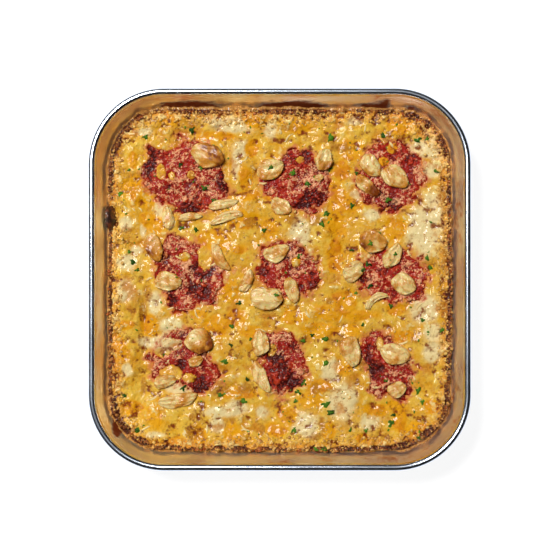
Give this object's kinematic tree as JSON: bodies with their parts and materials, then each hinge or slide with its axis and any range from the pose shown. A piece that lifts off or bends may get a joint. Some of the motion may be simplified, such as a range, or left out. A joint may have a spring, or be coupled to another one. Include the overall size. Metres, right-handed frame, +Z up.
{
  "type": "foil tray meal",
  "caption": "Square foil tray filled with a cheese-topped pasta bake, with wells of red sauce, roasted garlic and chopped parsley on top.",
  "frame": {"origin": "middle of the underside of the tray", "axes": "+Z up out of the tray; +X towards the right of the picture and +Y towards its top, both square to the tray's sides"},
  "size_m": [0.2058, 0.2058, 0.045],
  "materials": {
    "foil": "pressed foil, satin, with a bright rolled rim",
    "cheese": "melted and browned cheese, oily, with a rough crust",
    "sauce": "crumbly baked tomato sauce, moist",
    "garlic": "roasted garlic, oily, browned at the edges",
    "burnt": "burnt sauce, dark and shiny"
  },
  "bodies": {
    "root": {"foil_tray": "foil", "cheese_bake": "cheese", "burnt_sauce": "burnt", "sauce_1": "sauce", "sauce_2": "sauce", "sauce_3": "sauce", "sauce_4": "sauce", "sauce_5": "sauce", "sauce_6": "sauce", "sauce_7": "sauce", "sauce_8": "sauce", "sauce_9": "sauce", "garlic_01": "garlic", "garlic_02": "garlic", "garlic_03": "garlic", "garlic_04": "garlic", "garlic_05": "garlic", "garlic_06": "garlic", "garlic_07": "garlic", "garlic_08": "garlic", "garlic_09": "garlic", "garlic_10": "garlic", "garlic_11": "garlic", "garlic_12": "garlic", "garlic_13": "garlic", "garlic_14": "garlic", "garlic_15": "garlic", "garlic_16": "garlic", "garlic_17": "garlic", "garlic_18": "garlic", "garlic_19": "garlic", "garlic_20": "garlic", "garlic_21": "garlic", "garlic_22": "garlic", "garlic_23": "garlic", "garlic_24": "garlic", "garlic_25": "garlic", "garlic_26": "garlic", "garlic_27": "garlic", "garlic_28": "garlic", "garlic_29": "garlic", "garlic_30": "garlic", "garlic_31": "garlic", "garlic_32": "garlic", "garlic_33": "garlic"}
  },
  "joints": []
}
